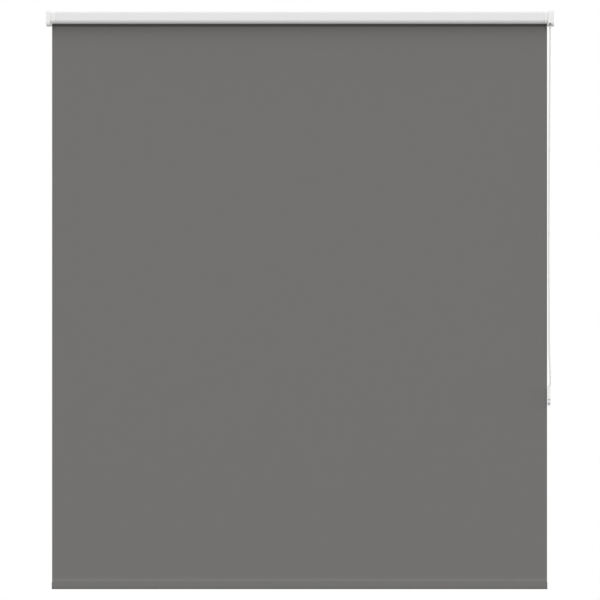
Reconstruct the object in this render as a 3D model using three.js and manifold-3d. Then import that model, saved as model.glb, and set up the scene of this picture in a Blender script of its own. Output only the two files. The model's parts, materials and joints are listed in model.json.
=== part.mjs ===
// Chain-operated roller blind in a small cassette, hung from three wall brackets and fully lowered.
// Millimetres, +Z up, +X along the width, +Y into the wall, so the front faces -Y.
// Origin: the wall face of the middle bracket, level with the roller's axis.
import * as THREE from 'three';
import { mergeVertices } from 'three/addons/utils/BufferGeometryUtils.js';
import Module from 'manifold-3d';

const wasm = await Module();
wasm.setup();

// Driving dimensions
const GAP = 0.3;
const HALF_WIDTH = 650;
const AXIS_Y = -21;

const CASSETTE = {
  halfLength: 624.4,
  front: -39,
  back: -4.5,
  bottom: -15,
  top: 16.3,
  wall: 1.2,
  lipEnd: -28,
  radii: { bottomFront: 11.5, bottomBack: 1, topBack: 2, topFront: 3 },
};
const RAIL = { thickness: 1.2, back: -1.8, upper: 13, lower: -10, upperLip: 9.5, lowerLip: -6.5 };

const CAP = {
  front: -41.5,
  back: -1.2,
  bottom: -21.4,
  top: 20.4,
  wall: 1.8,
  radii: { bottomFront: 11, bottomBack: 5, topBack: 5, topFront: 5 },
  leftInner: -639.4,
  rightInner: 634.8,
  innerRim: 1.2,
  leftRim: 5,
  rightRim: 2.9,
  chamberInset: 3.2,
  chamberWall: 1.2,
};
const NECK = { wall: 1.8, waist: 2, leftWaistEnd: -634.8, rightWaistEnd: 632.6, slotHeight: 4.5 };
const FOOT = { top: -14, inset: 0.4, overlap: 2 };
const TONGUE = { length: 12, root: 8, frontEdge: -34, frontBottom: 10.5, backEdge: -9.5, backBottom: 11 };
const IDLE_BOSS = { radius: 6, end: -638.6, socketRadius: 2.4, socketFloor: -642.6 };
const CHUTE = { halfWidth: 2.9, springline: -14.4, back: -5 };
const COVER = { from: 647.4, to: 649.4 };

const FABRIC = { left: -634.4, right: 632.2, thickness: 0.25, hemTop: -1432.6, bottom: -1461 };
const ROLL_RADIUS = 9.35;
const FABRIC_Y = AXIS_Y + ROLL_RADIUS + GAP + FABRIC.thickness / 2;

const TUBE = { radius: 8.5, bore: 7.5, left: -634.6, right: 632.4 };
const CHANNEL = { halfWidth: 2, floor: 7.2, ribHalfWidth: 3, ribBottom: 6.3 };

const BEAD = { radius: 2.25, pitch: 6, pocket: 2.7, string: 0.6 };
const CHAIN_X = 639.8;
const SPROCKET = { pockets: 13, rim: 12.9, halfWidth: 3.4 };
const SPROCKET_PITCH_RADIUS = (SPROCKET.pockets * BEAD.pitch) / (2 * Math.PI);
const WHEEL = { pockets: 9, rim: 9, halfWidth: 2.5, x: 637.1, z: -954 };
const WHEEL_PITCH_RADIUS = (WHEEL.pockets * BEAD.pitch) / (2 * Math.PI);
const GUARD = { inner: 15.2, outer: 16.2, halfWidth: 3.5, plateBore: 9, plate: 0.8, lowerEdge: -4 };

const POST_RADIUS = 2.6;
const SLEEVE = { inner: 3.9, outer: 4.6, end: 610 };
const DRUM = { inner: 4.9, outer: 6.1, finRadius: 7.2, flangeRadius: 8.4, end: 606.4 };

const BRACKET_X = [-450, 0, 450];
const BRACKET = { halfWidth: 15, thickness: 1.2, bottom: -13, top: 13.5, screwX: 9, screwZ: 2.5 };
const LATCH = { halfWidth: 9, top: -4.5, travel: 2.2 };
const SCREW = { headRadius: 3.5, headHeight: 2.2, shankRadius: 2, length: 25, hole: 2.4 };

const TENSIONER = {
  halfWidth: 3.5,
  wall: 0.7,
  front: -34,
  top: 13,
  housingBottom: -21,
  radii: { bottomFront: 1.5, bottomBack: 1, topBack: 1, topFront: 3 },
  mouthDepth: 5,
  baseBottom: -40,
  baseThickness: 3,
  blockFront: -28,
  screwZ: -31,
  screwLength: 50,
};

// How far the chain hangs sideways between the sprocket and the tensioner: [height, sideways]
const STRAND_ROUTE = [
  [-30, 0.2],
  [-95, -0.5],
  [-165, -1],
  [-260, -1.7],
  [-363, -2.4],
  [-465, -2.8],
  [-560, -3.2],
  [-620, -3.3],
  [-670, -3],
  [-721, -2.6],
  [-800, -2.4],
  [-849, -2.1],
  [-871, -1.5],
  [-887, -0.7],
  [-912, 0.1],
  [-933, 0.4],
  [-937, -0.5],
  [-941, -2.1],
];
// Heights at which the front and the back strand end, each half a gap from the next bead
const FRONT_STRAND = { top: -11.6, bottom: -942.4 };
const BACK_STRAND = { top: -8.6, bottom: -945.4 };

// Materials
function material(color, roughness, metalness = 0) {
  return new THREE.MeshStandardMaterial({ color, roughness, metalness });
}
const powderCoat = material(0xf1f1ef, 0.35);
const whitePlastic = material(0xf2f2f0, 0.45);
const chainPlastic = material(0xe6e6e2, 0.4);
const nylon = material(0xdedcd4, 0.55);
const darkPlastic = material(0x6b6a67, 0.6);
const fabric = material(0x72716f, 0.9);
const aluminium = material(0xc3c6c9, 0.4, 1);
const zincSteel = material(0xb9bcc0, 0.4, 1);
const springSteel = material(0x8f9296, 0.35, 1);

// Geometry helpers
const ALONG_X = new THREE.Matrix4().makeBasis(
  new THREE.Vector3(0, 1, 0),
  new THREE.Vector3(0, 0, 1),
  new THREE.Vector3(1, 0, 0),
);

function toSolid(geometry) {
  const plain = new THREE.BufferGeometry();
  plain.setAttribute('position', geometry.getAttribute('position'));
  plain.setIndex(geometry.getIndex());
  const merged = mergeVertices(plain, 1e-4);
  const vertProperties = Float32Array.from(merged.getAttribute('position').array);
  const triVerts = Uint32Array.from(merged.getIndex().array);
  return new wasm.Manifold(new wasm.Mesh({ numProp: 3, vertProperties, triVerts }));
}

function toGeometry(solid) {
  const mesh = solid.getMesh();
  const geometry = new THREE.BufferGeometry();
  geometry.setAttribute('position', new THREE.BufferAttribute(mesh.vertProperties, 3));
  geometry.setIndex(new THREE.BufferAttribute(mesh.triVerts, 1));
  const faceted = geometry.toNonIndexed();
  faceted.computeVertexNormals();
  return faceted;
}

function join(...geometries) {
  const solid = geometries.map(toSolid).reduce((whole, piece) => whole.add(piece));
  return toGeometry(solid);
}

function cut(geometry, ...tools) {
  const solid = tools.map(toSolid).reduce((whole, tool) => whole.subtract(tool), toSolid(geometry));
  return toGeometry(solid);
}

function common(a, b) {
  return toGeometry(toSolid(a).intersect(toSolid(b)));
}

function box(x0, x1, y0, y1, z0, z1) {
  const geometry = new THREE.BoxGeometry(x1 - x0, y1 - y0, z1 - z0);
  return geometry.translate((x0 + x1) / 2, (y0 + y1) / 2, (z0 + z1) / 2);
}

// A shape drawn in depth and height, extruded along X.
function prismX(shape, x0, x1, curveSegments = 6) {
  const options = { depth: x1 - x0, bevelEnabled: false, curveSegments };
  return new THREE.ExtrudeGeometry(shape, options).applyMatrix4(ALONG_X).translate(x0, 0, 0);
}

// A shape drawn in width and height, extruded along Y.
function prismY(shape, y0, y1, curveSegments = 6) {
  const options = { depth: y1 - y0, bevelEnabled: false, curveSegments };
  return new THREE.ExtrudeGeometry(shape, options).rotateX(Math.PI / 2).translate(0, y1, 0);
}

// A profile of [radius, x] points, turned about the X axis.
function latheX(profile, sides) {
  const points = profile.map(([radius, x]) => new THREE.Vector2(radius, x));
  return new THREE.LatheGeometry(points, sides).rotateZ(-Math.PI / 2);
}

function rod(radius, x0, x1, sides = 20) {
  return latheX([[0, x0], [radius, x0], [radius, x1], [0, x1]], sides);
}

function ring(inner, outer, x0, x1, sides = 24) {
  return latheX([[inner, x0], [outer, x0], [outer, x1], [inner, x1], [inner, x0]], sides);
}

function roundedOutline(part, inset = 0) {
  const front = part.front + inset;
  const back = part.back - inset;
  const bottom = part.bottom + inset;
  const top = part.top - inset;
  const round = (radius) => Math.max(radius - inset, 0.2);
  const bottomFront = round(part.radii.bottomFront);
  const bottomBack = round(part.radii.bottomBack);
  const topBack = round(part.radii.topBack);
  const topFront = round(part.radii.topFront);
  const shape = new THREE.Shape();
  shape.absarc(back - bottomBack, bottom + bottomBack, bottomBack, -Math.PI / 2, 0);
  shape.absarc(back - topBack, top - topBack, topBack, 0, Math.PI / 2);
  shape.absarc(front + topFront, top - topFront, topFront, Math.PI / 2, Math.PI);
  shape.absarc(front + bottomFront, bottom + bottomFront, bottomFront, Math.PI, Math.PI * 1.5);
  return shape;
}

// A closed skin through outlines with equal numbers of points, capped at both ends.
function loft(rings) {
  const count = rings[0].length;
  const positions = rings.flat().flatMap((point) => point.toArray());
  const faces = [];
  for (let level = 0; level < rings.length - 1; level += 1) {
    for (let i = 0; i < count; i += 1) {
      const a = level * count + i;
      const b = level * count + ((i + 1) % count);
      faces.push(a, b, b + count, a, b + count, a + count);
    }
  }
  const last = (rings.length - 1) * count;
  for (let i = 1; i < count - 1; i += 1) {
    faces.push(0, i + 1, i, last, last + i, last + i + 1);
  }
  const geometry = new THREE.BufferGeometry();
  geometry.setAttribute('position', new THREE.Float32BufferAttribute(positions, 3));
  geometry.setIndex(faces);
  return geometry;
}

// The cap's outline as a thick plate along X, with its two rims rounded.
function cushionPlate(x0, x1, startRadius, endRadius) {
  const steps = 3;
  const rim = (edge, radius, i) => {
    const angle = (i / steps) * (Math.PI / 2);
    return [edge + radius * (1 - Math.cos(angle)), Math.abs(radius) * (1 - Math.sin(angle))];
  };
  const stations = [];
  for (let i = 0; i <= steps; i += 1) {
    stations.push(rim(x0, startRadius, i));
  }
  for (let i = steps; i >= 0; i -= 1) {
    stations.push(rim(x1, -endRadius, i));
  }
  const rings = stations.map(([x, inset]) => {
    const outline = roundedOutline(CAP, inset).getPoints(3);
    return outline.map((point) => new THREE.Vector3(x, point.x, point.y));
  });
  return loft(rings);
}

// A round section carried along a curve.
function tubeAlong(curve, radius, steps, sides) {
  const section = new THREE.Shape();
  section.absarc(0, 0, radius, 0, Math.PI * 2);
  const options = { steps, curveSegments: sides / 2, extrudePath: curve, bevelEnabled: false };
  return new THREE.ExtrudeGeometry(section, options);
}

class Helix extends THREE.Curve {
  constructor(radius, x0, x1, turns) {
    super();
    Object.assign(this, { radius, x0, x1, turns });
  }

  getPoint(t, target = new THREE.Vector3()) {
    const angle = t * this.turns * Math.PI * 2;
    const x = this.x0 + t * (this.x1 - this.x0);
    return target.set(x, this.radius * Math.cos(angle), this.radius * Math.sin(angle));
  }
}

const blind = new THREE.Group();

function addPart(parent, name, geometry, surface) {
  const mesh = new THREE.Mesh(geometry, surface);
  mesh.name = name;
  parent.add(mesh);
}

function addGroup(parent, x, y, z) {
  const group = new THREE.Group();
  group.position.set(x, y, z);
  parent.add(group);
  return group;
}

// Head: cassette, end caps and the control side's cover
function cassetteProfile() {
  const { halfLength, wall, lipEnd, back, bottom } = CASSETTE;
  const outer = prismX(roundedOutline(CASSETTE), -halfLength, halfLength);
  const inner = prismX(roundedOutline(CASSETTE, wall), -halfLength - 1, halfLength + 1);
  const slot = box(-halfLength - 1, halfLength + 1, lipEnd, back - wall, bottom - 1, bottom + wall + 1);
  const shell = cut(outer, inner, slot);
  const railFloor = back - wall / 2;
  const rails = [
    [railFloor, RAIL.back, RAIL.upper - RAIL.thickness, RAIL.upper],
    [RAIL.back - RAIL.thickness, RAIL.back, RAIL.upperLip, RAIL.upper],
    [railFloor, RAIL.back, RAIL.lower, RAIL.lower + RAIL.thickness],
    [RAIL.back - RAIL.thickness, RAIL.back, RAIL.lower, RAIL.lowerLip],
  ].map(([y0, y1, z0, z1]) => box(-halfLength, halfLength, y0, y1, z0, z1));
  return join(shell, ...rails);
}

// The neck carries the cassette's outline towards the cap, then narrows to a waist beside it.
function neck(end, waistEnd, capFace) {
  const [from, to] = end < waistEnd ? [end, waistEnd] : [waistEnd, end];
  const [waistFrom, waistTo] = end < waistEnd ? [waistEnd - 1, capFace + 1] : [capFace - 1, waistEnd + 1];
  return [
    prismX(roundedOutline(CASSETTE), from, to),
    prismX(roundedOutline(CASSETTE, NECK.waist), waistFrom, waistTo),
  ];
}

function neckCavity(x0, x1) {
  return prismX(roundedOutline(CASSETTE, NECK.waist + NECK.wall), x0, x1);
}

function neckMouth(x0, x1) {
  return prismX(roundedOutline(CASSETTE, NECK.wall), x0, x1);
}

// The fabric's way out of the neck.
function neckSlot(x0, x1) {
  const back = CASSETTE.back - NECK.wall;
  return box(x0, x1, CASSETTE.lipEnd, back, CASSETTE.bottom - 1, CASSETTE.bottom + NECK.slotHeight);
}

// The cap's bottom carried on under the waist, up to the fabric's edge.
function foot(x0, x1) {
  const below = box(x0, x1, CAP.front - 1, CAP.back + 1, CAP.bottom - 1, FOOT.top);
  return common(prismX(roundedOutline(CAP, FOOT.inset), x0, x1), below);
}

// Two tongues that push into the cassette's upper corners.
function tongues(x0, x1) {
  const guide = prismX(roundedOutline(CASSETTE, CASSETTE.wall + GAP), x0, x1);
  const front = box(x0, x1, CASSETTE.front, TONGUE.frontEdge, TONGUE.frontBottom, CASSETTE.top);
  const back = box(x0, x1, TONGUE.backEdge, CASSETTE.back, TONGUE.backBottom, CASSETTE.top);
  return [common(guide, front), common(guide, back)];
}

function leftEndCap() {
  const neckEnd = -CASSETTE.halfLength - GAP;
  const waistEnd = NECK.leftWaistEnd;
  const body = join(
    cushionPlate(-HALF_WIDTH, CAP.leftInner, CAP.leftRim, CAP.innerRim),
    ...neck(neckEnd, waistEnd, CAP.leftInner),
    foot(CAP.leftInner - FOOT.overlap, waistEnd),
  );
  const hollow = cut(
    body,
    neckCavity(-HALF_WIDTH + CAP.wall + 1, waistEnd + NECK.wall + 1),
    neckMouth(waistEnd + NECK.wall, neckEnd + 1),
    neckSlot(waistEnd, neckEnd + 1),
  );
  const { radius, end, socketRadius, socketFloor } = IDLE_BOSS;
  const boss = rod(radius, -HALF_WIDTH + CAP.wall, end, 24).translate(0, AXIS_Y, 0);
  const socket = rod(socketRadius, socketFloor, CAP.leftInner + 1, 16).translate(0, AXIS_Y, 0);
  const keys = tongues(neckEnd - TONGUE.root, neckEnd + TONGUE.length);
  return cut(join(hollow, boss, ...keys), socket);
}

function chainChute() {
  const { halfWidth, springline, back } = CHUTE;
  const arch = new THREE.Shape();
  arch.moveTo(CHAIN_X - halfWidth, CAP.bottom - 5);
  arch.lineTo(CHAIN_X + halfWidth, CAP.bottom - 5);
  arch.absarc(CHAIN_X, springline, halfWidth, 0, Math.PI);
  return prismY(arch, CAP.front - 5, back);
}

function rightEndCap() {
  const neckEnd = CASSETTE.halfLength + GAP;
  const waistEnd = NECK.rightWaistEnd;
  const body = join(
    cushionPlate(CAP.rightInner, HALF_WIDTH, CAP.innerRim, CAP.rightRim),
    ...neck(neckEnd, waistEnd, CAP.rightInner),
    foot(waistEnd, CAP.rightInner + FOOT.overlap),
  );
  const chamberEdge = roundedOutline(CAP, CAP.chamberInset);
  const hollow = cut(
    body,
    prismX(chamberEdge, CAP.rightInner + CAP.chamberWall, HALF_WIDTH + 1),
    neckCavity(waistEnd - NECK.wall - 1, CAP.rightInner + CAP.chamberWall + 1),
    neckMouth(neckEnd - 1, waistEnd - NECK.wall),
    neckSlot(neckEnd - 1, waistEnd),
    chainChute(),
  );
  return join(hollow, ...tongues(neckEnd - TONGUE.length, neckEnd + TONGUE.root));
}

function rightCapCover() {
  return prismX(roundedOutline(CAP, CAP.chamberInset + GAP), COVER.from, COVER.to);
}

addPart(blind, 'cassette_profile', cassetteProfile(), powderCoat);
addPart(blind, 'left_end_cap', leftEndCap(), whitePlastic);
addPart(blind, 'right_end_cap', rightEndCap(), whitePlastic);
addPart(blind, 'right_cap_cover', rightCapCover(), whitePlastic);

// Wall brackets, each with a hook above, a sliding latch below and two screws
function screwGeometry(seat, length = SCREW.length) {
  const { headRadius, headHeight, shankRadius } = SCREW;
  const top = seat - GAP;
  const tip = top + length;
  const profile = [
    [0, top - headHeight],
    [headRadius * 0.6, top - headHeight],
    [headRadius, top - headHeight * 0.45],
    [headRadius, top],
    [shankRadius, top],
    [shankRadius, tip - 4],
    [0, tip],
  ].map(([radius, y]) => new THREE.Vector2(radius, y));
  const blank = new THREE.LatheGeometry(profile, 12);
  const face = top - headHeight;
  const recess = [
    box(-0.45, 0.45, face - 1, face + 1.2, -1.9, 1.9),
    box(-1.9, 1.9, face - 1, face + 1.2, -0.45, 0.45),
  ];
  return cut(blank, ...recess);
}

function screwHole(x, z) {
  return new THREE.CylinderGeometry(SCREW.hole, SCREW.hole, 12, 16).translate(x, 0, z);
}

function bracketGeometry() {
  const { halfWidth, thickness, bottom, top, screwX, screwZ } = BRACKET;
  const hookBack = RAIL.back - RAIL.thickness - GAP;
  const hookFront = CASSETTE.back + GAP;
  const stemTop = RAIL.upperLip - 0.5;
  const plate = box(-halfWidth, halfWidth, -thickness, 0, bottom, top);
  const stem = box(-12, 12, hookFront, -thickness / 2, stemTop - 1.2, stemTop);
  const lip = box(-12, 12, hookFront, hookBack, stemTop - 1.2, RAIL.upper - RAIL.thickness - 0.4);
  const windowHalf = LATCH.halfWidth + GAP;
  const windowTop = LATCH.top + LATCH.travel + GAP;
  const window = box(-windowHalf, windowHalf, -5, 5, bottom - 1, windowTop);
  return cut(join(plate, stem, lip), window, screwHole(-screwX, screwZ), screwHole(screwX, screwZ));
}

function latchGeometry() {
  const hookBack = RAIL.back - RAIL.thickness - GAP;
  const hookFront = CASSETTE.back + GAP;
  const plate = box(-LATCH.halfWidth, LATCH.halfWidth, -1.2, -0.2, -17.5, LATCH.top);
  const stem = box(-7, 7, hookFront, -0.7, -6, LATCH.top);
  const lip = box(-7, 7, hookFront, hookBack, -8.3, LATCH.top);
  const thumbTab = box(-5, 5, -4, -0.7, -17.5, -16.2);
  return join(plate, stem, lip, thumbTab);
}

['left', 'middle', 'right'].forEach((side, i) => {
  const bracket = addGroup(blind, BRACKET_X[i], 0, 0);
  addPart(bracket, `bracket_${side}`, bracketGeometry(), zincSteel);
  addPart(bracket, `bracket_${side}_latch`, latchGeometry(), nylon);
  [-1, 1].forEach((hand) => {
    const hole = addGroup(bracket, hand * BRACKET.screwX, 0, BRACKET.screwZ);
    const name = `bracket_${side}_screw_${hand < 0 ? 'a' : 'b'}`;
    addPart(hole, name, screwGeometry(-BRACKET.thickness), zincSteel);
  });
});

// Roller: tube, fabric turns and the two end fittings, about the roller's axis
function tubeSection() {
  const { radius, bore } = TUBE;
  const mouth = Math.asin(CHANNEL.halfWidth / radius);
  const rib = Math.asin(CHANNEL.ribHalfWidth / bore);
  const section = new THREE.Shape();
  section.absarc(0, 0, radius, Math.PI / 2 + mouth, Math.PI * 2.5 - mouth);
  section.lineTo(CHANNEL.halfWidth, CHANNEL.floor);
  section.lineTo(-CHANNEL.halfWidth, CHANNEL.floor);
  const hole = new THREE.Path();
  hole.absarc(0, 0, bore, Math.PI / 2 + rib, Math.PI * 2.5 - rib);
  hole.lineTo(CHANNEL.ribHalfWidth, CHANNEL.ribBottom);
  hole.lineTo(-CHANNEL.ribHalfWidth, CHANNEL.ribBottom);
  section.holes.push(hole);
  return section;
}

// Four fins that centre a fitting in the tube, clear of the tube's channel.
function fins(x0, x1) {
  return [0, 1, 2, 3].map((quarter) => {
    const fin = box(x0, x1, DRUM.outer - 0.8, DRUM.finRadius, -0.6, 0.6);
    return fin.rotateX(Math.PI / 4 + (quarter * Math.PI) / 2);
  });
}

function clutchDrum() {
  const { inner, outer, flangeRadius, end } = DRUM;
  const flange = TUBE.right + GAP;
  const profile = [
    [2, end],
    [outer, end],
    [outer, flange],
    [flangeRadius, flange],
    [flangeRadius, flange + 1.2],
    [inner, flange + 1.2],
    [inner, end + 1.8],
    [2, end + 1.8],
    [2, end],
  ];
  return join(latheX(profile, 24), ...fins(end + 1, flange));
}

function idlePlug() {
  const { outer, flangeRadius } = DRUM;
  const flange = TUBE.left - GAP;
  const bore = 3.4;
  const profile = [
    [0, -604],
    [outer, -604],
    [outer, flange],
    [flangeRadius, flange],
    [flangeRadius, flange - 1.2],
    [bore, flange - 1.2],
    [bore, -606],
    [0, -606],
  ].reverse();
  return join(latheX(profile, 24), ...fins(flange, -605));
}

function idlePin() {
  const profile = [
    [0, -642.2],
    [1.5, -642.2],
    [2, -641.7],
    [2, -626],
    [2.9, -626],
    [2.9, -624.6],
    [1.8, -624.6],
    [1.8, -612],
    [0, -612],
  ];
  return latheX(profile, 16);
}

function clutchPost() {
  const base = prismX(roundedOutline(CAP, CAP.chamberInset + GAP), 644.7, 645.9);
  const shaft = latheX(
    [
      [0, 604.4],
      [1.6, 604.4],
      [1.6, 608.6],
      [POST_RADIUS, 608.6],
      [POST_RADIUS, 645],
      [0, 645],
    ],
    16,
  );
  return join(base.translate(0, -AXIS_Y, 0), shaft);
}

function retainingRing() {
  const whole = ring(1.9, 3.4, 605, 606, 16);
  return cut(whole, box(600, 610, -0.7, 0.7, 0, 6));
}

const roller = addGroup(blind, 0, AXIS_Y, 0);
addPart(roller, 'roller_tube', prismX(tubeSection(), TUBE.left, TUBE.right, 28), aluminium);
const strip = box(TUBE.left + 2, TUBE.right - 2, -1.7, 1.7, CHANNEL.floor + GAP, TUBE.radius - 0.25);
addPart(roller, 'fabric_fixing_strip', strip, darkPlastic);
const turns = ring(TUBE.radius + GAP, ROLL_RADIUS, FABRIC.left, FABRIC.right, 32);
addPart(roller, 'fabric_roll', turns, fabric);
addPart(roller, 'idle_plug', idlePlug(), nylon);
addPart(roller, 'idle_bush', ring(2.3, 3.1, -635.9, -627.5, 16), darkPlastic);
addPart(roller, 'idle_pin', idlePin(), zincSteel);
const idleCoil = new Helix(2.55, -623.9, -606.8, 6);
addPart(roller, 'idle_spring', tubeAlong(idleCoil, 0.35, 48, 6), springSteel);
addPart(roller, 'clutch_drum', clutchDrum(), nylon);
addPart(roller, 'clutch_post', clutchPost(), whitePlastic);
addPart(roller, 'clutch_retaining_ring', retainingRing(), springSteel);
const springWire = 0.3;
const springRadius = POST_RADIUS + springWire + 0.3;
const innerCoil = new Helix(springRadius, 612, 621, 5);
const outerCoil = new Helix(springRadius, 623, 632, 5);
addPart(roller, 'wrap_spring_inner', tubeAlong(innerCoil, springWire, 40, 6), springSteel);
addPart(roller, 'wrap_spring_outer', tubeAlong(outerCoil, springWire, 40, 6), springSteel);

// Control: sprocket, guard and the endless bead chain
function onCircle(radius, angle) {
  return new THREE.Vector3(0, radius * Math.cos(angle), radius * Math.sin(angle));
}

// A wheel with a ball pocket for each bead and a groove for the string between the beads.
function beadWheel(wheel, pitchRadius, bore) {
  const { pockets, rim, halfWidth } = wheel;
  const blank = ring(bore, rim, -halfWidth, halfWidth, pockets * 2);
  const groove = ring(pitchRadius - 1.1, rim + 2, -0.9, 0.9, pockets * 2);
  const balls = [];
  for (let i = 0; i < pockets; i += 1) {
    const place = onCircle(pitchRadius, (i / pockets) * Math.PI * 2);
    const ball = new THREE.SphereGeometry(BEAD.pocket, 8, 5);
    balls.push(ball.translate(place.x, place.y, place.z));
  }
  return cut(blank, groove, ...balls);
}

function sprocketGeometry() {
  const disc = beadWheel(SPROCKET, SPROCKET_PITCH_RADIUS, 3);
  const sleeve = ring(SLEEVE.inner, SLEEVE.outer, SLEEVE.end - CHAIN_X, -SPROCKET.halfWidth + 0.6);
  return join(disc, sleeve);
}

// A place on the chain's line round a wheel: down one tangent, round the rim and down the other.
// Distance counts from the back tangent point over the top, or from the front one under the bottom.
function placeOnWheel(pitchRadius, distance, start) {
  const half = Math.PI * pitchRadius;
  const onRim = Math.min(Math.max(distance, 0), half);
  const angle = start + onRim / pitchRadius;
  const tangent = new THREE.Vector3(0, -Math.sin(angle), Math.cos(angle));
  return onCircle(pitchRadius, angle).addScaledVector(tangent, distance - onRim);
}

// The beads lying round a wheel, with the nearest ones on the way in and out, and their string.
function wrapGeometry(pitchRadius, start, first, count) {
  const last = first + (count - 1) * BEAD.pitch;
  const points = [];
  for (let distance = first; distance <= last + 0.01; distance += BEAD.pitch / 2) {
    points.push(placeOnWheel(pitchRadius, distance, start));
  }
  const curve = new THREE.CatmullRomCurve3(points);
  const string = tubeAlong(curve, BEAD.string, points.length - 1, 6);
  const beads = points.filter((point, i) => i % 2 === 0).map((point) => {
    return new THREE.SphereGeometry(BEAD.radius, 6, 4).translate(point.x, point.y, point.z);
  });
  return join(string, ...beads);
}

// A hanging run of the chain as a plain tube, on the line from one wheel's rim to the other's.
function strandGeometry(hand, { top, bottom }) {
  const sides = 8;
  const route = [[top, 0], ...STRAND_ROUTE, [bottom, WHEEL.x - CHAIN_X]];
  const rings = route.map(([z, sideways]) => {
    const share = z / WHEEL.z;
    const reach = SPROCKET_PITCH_RADIUS + (WHEEL_PITCH_RADIUS - SPROCKET_PITCH_RADIUS) * share;
    return Array.from({ length: sides }, (_, i) => {
      const angle = (i / sides) * Math.PI * 2;
      const x = sideways + BEAD.radius * Math.cos(angle);
      return new THREE.Vector3(x, hand * reach - BEAD.radius * Math.sin(angle), z);
    });
  });
  return join(loft(rings));
}

// A half ring over the sprocket that keeps the beads in their pockets, with a thin side plate.
function chainGuard() {
  const { inner, outer, halfWidth, plateBore, plate, lowerEdge } = GUARD;
  const side = ring(plateBore, outer, halfWidth, halfWidth + plate, 32);
  const shroud = ring(inner, outer, -halfWidth, halfWidth + plate / 2, 32);
  const lower = box(-20, 20, -20, 20, -20, lowerEdge);
  return cut(join(side, shroud), lower);
}

const control = addGroup(blind, CHAIN_X, AXIS_Y, 0);
addPart(control, 'chain_sprocket', sprocketGeometry(), nylon);
addPart(control, 'chain_guard', chainGuard(), whitePlastic);
const upperWrap = wrapGeometry(SPROCKET_PITCH_RADIUS, 0, -BEAD.pitch, 10);
addPart(control, 'chain_sprocket_wrap', upperWrap, chainPlastic);
addPart(control, 'chain_front_strand', strandGeometry(-1, FRONT_STRAND), chainPlastic);
addPart(control, 'chain_back_strand', strandGeometry(1, BACK_STRAND), chainPlastic);

// Tensioner: a wall base, a housing with the wheel between its cheeks, the axle and a screw
function tensionerHousing() {
  const { halfWidth, wall, front, top, housingBottom, baseThickness, radii, mouthDepth } = TENSIONER;
  const body = {
    front,
    back: -baseThickness - GAP,
    bottom: housingBottom,
    top,
    radii,
  };
  const outer = prismX(roundedOutline(body), -halfWidth, halfWidth);
  const inner = prismX(roundedOutline(body, wall), -halfWidth + wall, halfWidth - wall);
  const inside = halfWidth - wall;
  const mouth = box(-inside, inside, front + wall, body.back - wall, top - mouthDepth, top + 1);
  const axleHole = rod(1.8, -halfWidth - 1, halfWidth + 1, 16).translate(0, AXIS_Y, 0);
  return cut(outer, inner, mouth, axleHole);
}

// A plate behind the housing, with a block below it that the screw goes through.
function tensionerBase() {
  const { halfWidth, top, housingBottom, baseBottom, baseThickness, blockFront, screwZ } = TENSIONER;
  const outline = (upperEdge) => {
    const shape = new THREE.Shape();
    shape.absarc(0, baseBottom + halfWidth, halfWidth, Math.PI, Math.PI * 2);
    shape.lineTo(halfWidth, upperEdge);
    shape.lineTo(-halfWidth, upperEdge);
    return shape;
  };
  const plate = prismY(outline(top), -baseThickness, 0);
  const block = prismY(outline(housingBottom - GAP), blockFront, 0);
  const { hole } = SCREW;
  const bore = new THREE.CylinderGeometry(hole, hole, -blockFront * 3, 16).translate(0, 0, screwZ);
  return cut(join(plate, block), bore);
}

const tensioner = addGroup(blind, WHEEL.x, 0, WHEEL.z);
addPart(tensioner, 'tensioner_base', tensionerBase(), whitePlastic);
addPart(tensioner, 'tensioner_housing', tensionerHousing(), whitePlastic);
const tensionerHub = addGroup(tensioner, 0, AXIS_Y, 0);
addPart(tensionerHub, 'tensioner_wheel', beadWheel(WHEEL, WHEEL_PITCH_RADIUS, 1.9), nylon);
const axleHalf = TENSIONER.halfWidth - 0.1;
addPart(tensionerHub, 'tensioner_axle', rod(1.5, -axleHalf, axleHalf, 16), zincSteel);
const lowerWrap = wrapGeometry(WHEEL_PITCH_RADIUS, Math.PI, -BEAD.pitch * 1.5, 8);
addPart(tensionerHub, 'chain_tensioner_wrap', lowerWrap, chainPlastic);
const tensionerScrew = addGroup(tensioner, 0, 0, TENSIONER.screwZ);
const longScrew = screwGeometry(TENSIONER.blockFront, TENSIONER.screwLength);
addPart(tensionerScrew, 'tensioner_screw', longScrew, zincSteel);

// Blind: the fabric panel and the weighted hem
const HEM = {
  half: 2.9,
  neckHalf: 0.34,
  seam: FABRIC.hemTop - 2,
  shoulder: FABRIC.hemTop - 8.8,
  bulge: FABRIC.bottom + 8,
};

// The lower end of the hem and of the bar in it: half an ellipse hanging from the bulge's height.
function addRoundBottom(outline, half, bottom) {
  outline.absellipse(0, HEM.bulge, half, HEM.bulge - bottom, Math.PI, Math.PI * 2);
}

function hemOutline(inset) {
  const half = HEM.half - inset;
  const neckHalf = HEM.neckHalf - inset;
  const bottom = FABRIC.bottom + inset;
  const { shoulder, seam } = HEM;
  const bend = (seam - shoulder) * 0.6;
  const outline = new THREE.Shape();
  outline.moveTo(half, shoulder);
  outline.bezierCurveTo(half, shoulder + bend, neckHalf, seam - bend, neckHalf, seam);
  if (inset === 0) {
    outline.lineTo(neckHalf, FABRIC.hemTop);
    outline.lineTo(-neckHalf, FABRIC.hemTop);
  }
  outline.lineTo(-neckHalf, seam);
  outline.bezierCurveTo(-neckHalf, seam - bend, -half, shoulder + bend, -half, shoulder);
  addRoundBottom(outline, half, bottom);
  return outline;
}

function hemPocket() {
  const outer = prismX(hemOutline(0), FABRIC.left, FABRIC.right);
  const inner = prismX(hemOutline(FABRIC.thickness), FABRIC.left - 1, FABRIC.right + 1);
  return cut(outer, inner);
}

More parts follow.
